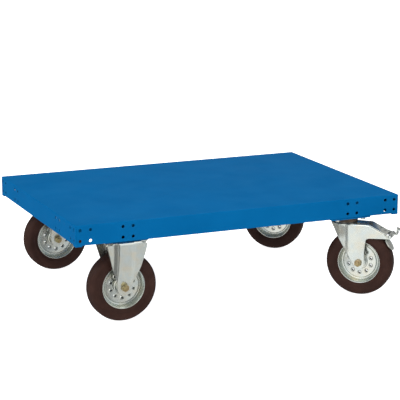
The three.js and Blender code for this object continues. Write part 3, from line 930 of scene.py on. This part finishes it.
def bracket_half_length(height):
    """Half the width of a leg in side view: a round eye, a taper above it, a notch at the bend."""
    eye_top, notched_half = 106, 42
    if height < eye_top:
        return sqrt(max(EYE_RADIUS ** 2 - (AXLE_HEIGHT - height) ** 2, 0.25))
    notch = smooth_step(232.5, 229.5, height)
    return notched_half * (1 - notch) + softened(HALF_BY_HEIGHT, height, 5) * notch


def pressed_depth(x, height):
    """How far the leg's face lies behind its raised middle panel."""
    front_edge, back_edge, front_depth, back_depth = -25, 13, 3.6, 2.0
    fade = smooth_step(102, 124, height) * smooth_step(240, 228, height)
    slope = 0.25 + 0.75 * min(max((front_edge - x) / 13, 0), 1)
    front = front_depth * smooth_step(front_edge, front_edge - 3, x) * slope
    return fade * (front + back_depth * smooth_step(back_edge, back_edge + 11, x))


def bracket_rows():
    """Outer face of the U-shaped bracket, from one axle eye over the plate to the other."""
    bend, lowest, columns = 8.0, 22.85, 48
    stations = [AXLE_HEIGHT - lowest + 22.8 * (1 - cos(radians(9 * k))) for k in range(10)]
    stations += [AXLE_HEIGHT + 3 * k for k in range(1, 42)]
    leg = [(softened(FACE_BY_HEIGHT, height, 9), height) for height in stations if height < PLATE_TOP - bend]
    flat = PLATE_HALF_WIDTH - bend
    corner = arc((flat, PLATE_TOP - bend), bend, 0, 90, 10)
    half = leg + corner + [(flat - 0.6, PLATE_TOP), (flat - 1.2, PLATE_TOP), (20, PLATE_TOP)]
    rows = []
    for sign, path in ((1, half), (-1, half[::-1])):
        for y, height in path:
            on_plate = height > PLATE_TOP - 0.5 and y < flat - 1.1
            wide = PLATE_HALF_LENGTH if on_plate else bracket_half_length(height)
            row = []
            for k in range(columns + 1):
                x = wide * (2 * k / columns - 1)
                inward = pressed_depth(x, height) if height < PLATE_TOP - 1 else 0.0
                row.append((x, sign * (y - inward), height))
            rows.append(row)
    return rows


def make_bracket_pattern():
    bracket = raw_object("bracket_pattern", thick_sheet(bracket_rows(), LEG_SHEET))
    bores = [on_axle(bar(AXLE_BORE, -80, 80, 32), 0, AXLE_HEIGHT)]
    bores += [moved(bar(BOLT_BORE, 0, 20), at(52.5 * sx, 40 * sy, PLATE_TOP - 12)) for sx, sy in FOUR_CORNERS]
    carved(bracket, joined(bores))
    return pattern_of(eased(bracket, 0.5, 50), ZINC)


# ---- swivel fork ----

LEG_END_RADIUS = 17.3
CREASE = (-15, 174)
ARM_BEND = 78
ARM_TIP = (146, 184)
WEB_END = 130


def fork_bottom_line():
    """Lower edge of a leg and its arm in side view, from the crease round the axle eye to the arm."""
    fillet, underside, climb = 17.0, 177.0, 2.2
    crease_x, crease_z = CREASE
    reach = hypot(crease_x - TRAIL, crease_z - AXLE_HEIGHT)
    to_crease = atan2(crease_z - AXLE_HEIGHT, crease_x - TRAIL)
    start = degrees(to_crease + acos(LEG_END_RADIUS / reach))
    eye = arc((TRAIL, AXLE_HEIGHT), LEG_END_RADIUS, start, 360, 18)
    back = TRAIL + LEG_END_RADIUS
    front = between(CREASE, eye[0], range(8))
    rise = between((back, AXLE_HEIGHT), (back, underside - fillet), range(1, 8))
    corner = arc((back + fillet, underside - fillet), fillet, 180, 90, 8)
    arm = between((back + fillet, underside), (WEB_END, underside + climb), range(1, 9))
    return front + eye + rise + corner + arm


def fork_top(share):
    """Top line of the fork in side view, by share of its run, as (forward, height)."""
    forward = CREASE[0] + (WEB_END - CREASE[0]) * share
    fall = (CROWN_TOP - ARM_TIP[1]) / (ARM_TIP[0] - ARM_BEND)
    samples, spread = 7, 4
    drop = 0.0
    for k in range(samples):
        drop += max(forward + spread * (2 * k / (samples - 1) - 1) - ARM_BEND, 0) * fall / samples
    return forward, CROWN_TOP - drop


def fork_rows():
    """Outer face of the fork: up one side, round the bend, across the web and down the other side."""
    bottom = fork_bottom_line()
    bend, leg_steps, web_edge, most_turned_in = 5.0, 16, 12, 1.7
    rows = []
    for i, (low_x, low_z) in enumerate(bottom):
        top_x, top_z = fork_top(i / (len(bottom) - 1))
        side = []
        for k in range(leg_steps + 1):
            share = k / leg_steps
            x = low_x + (top_x - low_x) * share
            z = low_z + (top_z - bend - low_z) * share
            pressed = 0.9 * smooth_step(14, 10, x) + 0.7 * smooth_step(10, -15, x)
            pressed *= smooth_step(118, 140, z)
            turned_in = most_turned_in * smooth_step(172, 192, z) * min(max((11 - x) / 26, 0), 1)
            side.append((x, LEG_FACE - pressed - turned_in, z))
        side += [(top_x, y, z) for y, z in arc((LEG_FACE - bend, top_z - bend), bend, 15, 90, 5)]
        side.append((top_x, web_edge, top_z))
        rows.append(side + [(x, -y, z) for x, y, z in reversed(side)])
    # In this order thick_sheet gives the sheet its thickness inwards.
    return rows[::-1]


def arm_ear(side):
    """End of an arm round the brake pin."""
    pin_x, pin_z = BRAKE_PIN
    underside = 179.2
    outline = filleted([(WEB_END - 5, underside), (pin_x + 1, underside), (ARM_TIP[0], 183),
                        (ARM_TIP[0], 187), (WEB_END - 5, 194.0)], [0, 3, 2.2, 3, 0])
    low, high = sorted((side * (LEG_FACE - LEG_SHEET), side * (LEG_FACE - 0.03)))
    ear = raw_object("ear", upright(prism(outline, low, high)))
    carved(ear, on_axle(bar(PIN_BORE, -60, 60), pin_x, pin_z))
    return eased(ear, 0.4)


def crease_flange(side):
    """Front flange of a leg, turned in towards the kingpin from the crease."""
    turn = radians(22)
    crease_x, crease_z = CREASE
    full_width, steps, across = 26.3, 10, 6
    rows = []
    for k in range(steps + 1):
        z = crease_z + (CROWN_TOP - crease_z) * k / steps
        width = full_width * (z - crease_z) / (CROWN_TOP - crease_z) + 0.6
        row = []
        for j in range(across + 1):
            out = width * j / across
            y = LEG_FACE - 1.5 - out * sin(turn)
            row.append((crease_x + 0.8 - out * cos(turn), side * y, z))
        rows.append(row if side < 0 else row[::-1])
    return eased(raw_object("flange", thick_sheet(rows, LEG_SHEET)), 0.5, 50)


def make_fork_pattern():
    sight_hole, kingpin_hole, crown_radius = 3.5, 7.0, 41.6
    channel = raw_object("channel", thick_sheet(fork_rows(), LEG_SHEET))
    cutters = [on_axle(bar(AXLE_BORE, -60, 60, 32), TRAIL, AXLE_HEIGHT), bar(kingpin_hole, 190, 240)]
    cutters += [moved(bar(sight_hole, 170, 230), at(x, 12, 0)) for x in (106, 119)]
    carved(channel, joined(cutters))
    eased(channel, 0.5, 50)
    section = rectangle(kingpin_hole, CROWN_TOP - 3.4, crown_radius, CROWN_TOP - 0.1)
    parts = [channel, raw_object("crown", turned_ring(section, [0, 1.0, 1.0, 0], 72))]
    for side in (-1, 1):
        parts += [arm_ear(side), crease_flange(side)]
    return pattern_of(merged("fork_pattern", parts), ZINC)


# ---- swivel head ----


def plate_outline():
    """Top plate seen from above: a rounded rectangle whose middle bulges to a disc."""
    half_length, half_width, disc, steps = 52.5, 40.0, 44.0, 24
    cross = degrees(asin(half_width / disc))
    bulge = arc((0, 0), disc, cross, 180 - cross, steps)
    neck = disc * cos(radians(cross)) + 1
    left = filleted([(-neck, half_width), (-half_length, half_width), (-half_length, -half_width),
                     (-neck, -half_width)], [0, 7, 7, 0])
    half = bulge + left
    return half + [(-x, -y) for x, y in half]


def make_top_plate(label, caster):
    low, high = box_mm(f"{label}_top_plate")
    plate = raw_object(f"{label}_top_plate_visual", prism(plate_outline(), low.z - FLOOR, high.z - FLOOR))
    bores = [bar(12.3, 200, 260, 40)]
    bores += [moved(bar(BOLT_BORE, 200, 260), at(42 * sx, 30 * sy, 0)) for sx, sy in FOUR_CORNERS]
    carved(plate, joined(bores))
    shaded(eased(plate, 0.7))
    plate.matrix_world = caster
    dressed(plate, ZINC, "root", f"{label}_top_plate")


def make_swivel_head(label, caster, turning, turntable):
    """Races, balls, seal, kingpin and its nut."""
    inner, groove, outer, lip = 20, 26.5, 33, 3.5
    low, high = CROWN_TOP + 0.3, 232.5
    lower_face, upper_face = low + 4.6, high - 3
    lower = turned_ring([(inner, low), (outer, low), (outer, lower_face), (groove + lip, lower_face),
                         (groove, low + 3.2), (groove - lip, lower_face), (inner, lower_face)],
                        [0.5, 1.2, 1.2, 0.3, 1.5, 0.3, 0.5], 72)
    upper = turned_ring([(inner, upper_face), (groove - lip, upper_face), (groove, high - 1.6),
                         (groove + lip, upper_face), (outer, upper_face), (outer, high), (inner, high)],
                        [0.5, 0.3, 1.5, 0.3, 1.2, 1.2, 0.5], 72)
    ball_radius, ball_height, ball_count = 2.9, 226.1, 26
    ball = turned(arc((0, 0), ball_radius, -86, 86, 10), 16)
    balls = [moved(ball, spun(2 * pi * k / ball_count, "Z") @ at(groove, 0, ball_height))
             for k in range(ball_count)]
    rim = 37
    seal = turned_ring([(rim - 3.4, 220.4), (rim - 1.4, 220.2), (rim, 221.6), (rim, 226.5), (rim - 0.8, 228),
                        (rim, 229.4), (rim, 231.2), (rim - 1, 232.4), (rim - 3.4, 232.4)],
                       [0.3, 0.6, 0.8, 1, 1, 1, 0.8, 0.6, 0.3], 96)
    head = turned([(3.5, 235.8), (8.5, 235.7), (11.2, 234.8), (11.9, 233.9), (11.9, 233.2), (5.9, 233.1),
                   (5.9, 216.0)], 40)
    shank = threaded_rod(5.9, 203.2, 216.2, pitch=1.5, turns=36)
    nut = moved(hexagon(19, 8.8, bore=6.2), at(0, 0, CROWN_TOP - CROWN_SHEET - 9.2))
    rows = [
        ("upper_race", upper, BEARING, caster, "root"),
        ("swivel_seal", seal, SEAL, caster, "root"),
        ("kingpin_bolt", joined([head, shank]), ZINC, caster, "root"),
        ("kingpin_nut", nut, ZINC, turning, "root"),
        ("lower_race", lower, BEARING, turning, turntable),
        ("ball_race", joined(balls), BEARING, turning, turntable),
    ]
    for name, shape, material, place, body in rows:
        piece = shaded(raw_object(f"{label}_{name}_visual", shape), 30)
        piece.matrix_world = place
        dressed(piece, material, body, f"{label}_{name}")


# ---- brake ----


def brake_shoe():
    """Dished round shoe, drawn about Z with its tread side down, then set facing the tread."""
    edge, rise = 23, radians(35)
    profile = filleted([(0.4, 0.5), (15, 0.5), (18.5, 0.0), (edge, 0.3), (edge, 2.9), (18.5, 3.5), (16, 2.9),
                        (0.4, 2.9)], [0, 2, 2, 1, 1, 1, 2, 0])
    outward = spun(pi / 2 - rise, "Y")
    return moved(turned(profile, 64), at(TRAIL, 0, AXLE_HEIGHT) @ outward @ at(0, 0, WHEEL_RADIUS + 3.2))


def make_pedal_pattern():
    """Pedal: tongue, low plate, riser, foot pad and toe, with the barrel, the shoe and three ribs."""
    pin_x, pin_z = BRAKE_PIN
    arm, flare, riser, reach, pad_low, pad_top = 13.4, 21.5, 156.4, 205.2, 203.2, 206
    tongue = filleted([(130, 165), (125.2, 173), (133.7, 181), (134.2, 189.8), (146.8, 189.8), (146.8, 183)],
                      [1, 2, 3, 2, 2, 3])
    low_plate = filleted(rectangle(pin_x + 2, -arm, 158.6, arm), [3, 0, 0, 3])
    riser_face = [(-arm, pin_z + 2.7), (arm, pin_z + 2.7)] + arc((0, 199.4), arm, 0, 180, 24)
    onto_end = Matrix(((0, 0, 1, 0), (1, 0, 0, 0), (0, 1, 0, 0), (0, 0, 0, 1)))
    pad = filleted(mirrored([(riser, -arm), (168, -arm), (180, -flare), (reach, -flare)]),
                   [0, 10, 10, 8, 8, 10, 10, 0])
    toe = filleted([(203, 197), (205.8, 197), (205.8, 205.9), (203, 205.9)], [0.6, 0.6, 1.5, 0])
    shapes = [
        upright(prism(tongue, -7.5, 7.5)),
        prism(low_plate, pin_z + 2.6, pin_z + 5.4),
        moved(prism(riser_face, 156.2, 158.9), onto_end),
        prism(pad, pad_low, pad_top),
        upright(prism(toe, -14.5, 14.5)),
    ]
    parts = [eased(raw_object("plate", shape), 0.5) for shape in shapes]
    carved(parts[0], on_axle(bar(PIN_BORE, -20, 20), pin_x, pin_z))
    parts.append(raw_object("barrel", on_axle(tube(PIN_BORE, 6.4, 13.6), pin_x, pin_z)))
    parts.append(raw_object("shoe", brake_shoe()))
    ribs = [prism(filleted(rectangle(x - 1.2, -16, x + 1.2, 16), 1.1), pad_top - 0.2, pad_top + 0.9)
            for x in (184, 190, 196)]
    parts.append(eased(raw_object("ribs", joined(ribs)), 0.4))
    return pattern_of(merged("pedal_pattern", parts), ZINC)


def make_brake_pin_pattern():
    reach, face, rivet, shank = LEG_FACE + 3.4, LEG_FACE + 0.35, 4.9, 2.95
    profile = mirrored([(2.2, -reach), (4.0, -reach + 0.5), (rivet, -reach + 1.6), (rivet, -face),
                        (shank, -face)])
    return pattern_of(raw_object("pin_pattern", on_axle(turned(profile, 32), *BRAKE_PIN)), ZINC)


def swept_wire(route, radius, sides=10):
    """Round wire along a route of points."""
    last = len(route) - 1
    rings = []
    for i, here in enumerate(route):
        ahead = (route[min(i + 1, last)] - route[max(i - 1, 0)]).normalized()
        across = ahead.cross(Vector((0, 1, 0.02))).normalized()
        up = across.cross(ahead)
        rings.append([here + across * x + up * y for x, y, _ in ring(radius, 0, sides)])
    return stacked(rings)


def make_spring_pattern():
    """Return spring wound on the pin at each side of the pedal, with one leg under the web."""
    pin = Vector((BRAKE_PIN[0], 0, BRAKE_PIN[1]))
    wire, coil, coils, steps = 0.8, 4.9, 4.5, 24
    start, run = 15.0, 10.0
    total = int(coils * steps)
    springs = []
    for side in (-1, 1):
        route = [pin + Vector((x, side * start, z)) for x, z in ((-16, 5.2), (-10, 5.1), (-4, 5.0))]
        for k in range(total + 1):
            angle = pi / 2 - 2 * pi * k / steps
            y = side * (start + run * k / total)
            route.append(pin + Vector((coil * cos(angle), y, coil * sin(angle))))
        springs.append(swept_wire(route, wire))
    return pattern_of(raw_object("spring_pattern", joined(springs)), BEARING, 60)


# ---- assembly ----


def make_casters():
    patterns = {
        **wheel_patterns(), "bracket": make_bracket_pattern(), "fork": make_fork_pattern(),
        "brake_pedal": make_pedal_pattern(), "brake_pin": make_brake_pin_pattern(),
        "brake_spring": make_spring_pattern(),
    }
    plate_low = box_mm("swivel_right_top_plate")[0].z - FLOOR
    for side_name, side in SIDES.items():
        label = f"fixed_{side_name}"
        fixed_y = side * abs(FIXED_Y)
        caster = Matrix.Translation(Vector((FIXED_X, fixed_y, FLOOR)) * MM)
        make_wheel(label, caster, 0, "root", patterns)
        placed(label, "bracket", patterns["bracket"], caster, "root")
        make_mounting_bolts(f"{label}_mounting_bolts", FIXED_X, fixed_y, (105, 80), PLATE_TOP - LEG_SHEET)

        label = f"swivel_{side_name}"
        swivel_y = side * abs(SWIVEL_Y)
        caster = Matrix.Translation(Vector((SWIVEL_X, swivel_y, FLOOR)) * MM)
        turning = caster @ spun(SWIVEL_YAW, "Z")
        turntable = f"{label}_turntable"
        make_wheel(label, turning, TRAIL, turntable, patterns)
        make_top_plate(label, caster)
        make_swivel_head(label, caster, turning, turntable)
        make_mounting_bolts(f"{label}_mounting_bolts", SWIVEL_X, swivel_y, (84, 60), plate_low)
        placed(label, "fork", patterns["fork"], turning, turntable)
        placed(label, "brake_pin", patterns["brake_pin"], turning, turntable)
        dressed(copy_of(patterns["brake_spring"], f"{label}_brake_spring", turning), BEARING, turntable)
        placed(label, "brake_pedal", patterns["brake_pedal"], turning, f"{label}_pedal")
    for pattern in patterns.values():
        bpy.data.objects.remove(pattern)


# ---- setting ----


def make_floor():
    """White floor that glows, brighter to the viewer than to the cart."""
    half = 12.0
    lit, shown, base = ((level, level, level, 1) for level in (0.3, 0.95, 0.92))
    floor = bpy.data.meshes.new("studio_floor")
    floor.from_pydata([(x, y, cad_low.z) for x, y in rectangle(-half, -half, half, half)], [], [(0, 1, 2, 3)])
    material, tree, shader = new_material("White studio floor", Base_Color=base, Roughness=0.9,
                                          Specular_IOR_Level=0.1, Emission_Strength=1.0)
    seen = node(tree, "ShaderNodeLightPath").outputs["Is Camera Ray"]
    tree.links.new(mixed_colour(tree, seen, lit, shown), shader.inputs["Emission Color"])
    floor.materials.append(material)
    piece = in_scene("studio_floor", floor)
    piece.visible_glossy = False


# Brightness of the studio walls, from the fixed end to the swivel end: bright sheets and dark gaps.
STUDIO_STRIPS = [(0.0, 0.3), (0.065, 0.4), (0.09, 1.35), (0.26, 1.3), (0.34, 0.3), (0.48, 0.12), (0.6, 0.2),
                 (0.65, 0.8), (0.85, 0.85), (0.92, 0.45), (1.0, 0.4)]


def make_lights():
    """Studio walls that the metal reflects, and two soft lamps."""
    seen_wall = 1.05
    world = bpy.data.worlds.new("white studio")
    world.use_nodes = True
    tree = world.node_tree
    background = tree.nodes["Background"]
    direction = node(tree, "ShaderNodeTexCoord").outputs["Generated"]
    parts = node(tree, "ShaderNodeSeparateXYZ", {0: direction}).outputs
    height = ranged(tree, parts["Z"], -0.1, 0.8, 0.9, 1.8)
    sideways = ranged(tree, parts["X"], -1.0, 1.0)
    behind = ranged(tree, parts["Y"], 0.3, 0.7, 1.0, 0.3)
    strips = node(tree, "ShaderNodeValToRGB", {"Fac": sideways})
    stops = strips.color_ramp.elements
    for place, _ in STUDIO_STRIPS[1:-1]:
        stops.new(place)
    for stop, (_, level) in zip(stops, STUDIO_STRIPS):
        stop.color = (level, level, level, 1)
    sky = multiplied(tree, multiplied(tree, height, strips.outputs["Color"]), behind)
    seen = node(tree, "ShaderNodeLightPath").outputs["Is Camera Ray"]
    background.inputs["Color"].default_value = (1, 1, 1, 1)
    tree.links.new(mixed_value(tree, seen, sky, seen_wall), background.inputs["Strength"])
    bpy.context.scene.world = world
    lamps = [
        ("overhead softbox", (-0.6, -0.8, 3.2), (0, 0, 0), 2.6, 34),
        ("front softbox", (-3.4, -3.6, 1.8), (0, 0, -0.1), 2.0, 42),
    ]
    for name, place, aim, size, power in lamps:
        data = bpy.data.lights.new(name, "AREA")
        data.shape = "DISK"
        data.size = size
        data.energy = power
        lamp = in_scene(name, data)
        lamp.location = place
        lamp.rotation_euler = (Vector(aim) - Vector(place)).to_track_quat("-Z", "Y").to_euler()
        lamp.visible_glossy = False


def make_camera():
    data = bpy.data.cameras.new("camera")
    data.sensor_width = 36
    data.lens = 142.2
    data.shift_x = 0.00475
    data.shift_y = -0.00525
    data.clip_end = 100
    camera = in_scene("camera", data)
    right = Vector((0.9178, -0.3970, 0.0020)).normalized()
    forward = Vector((0.3873, 0.8944, -0.2239)).normalized()
    up = right.cross(forward)
    turn = Matrix((right, up, -forward)).transposed().to_4x4()
    camera.matrix_world = Matrix.Translation((-1.85306, -4.30200, 1.03576)) @ turn
    bpy.context.scene.camera = camera


make_camera()
make_lights()
make_floor()
make_deck()
for side_name in SIDES:
    make_stiffener(f"deck_stiffener_{side_name}")
make_bearer("fixed_caster_bearer")
make_bearer("swivel_caster_bearer")
make_casters()
bpy.context.scene.view_settings.view_transform = "Standard"
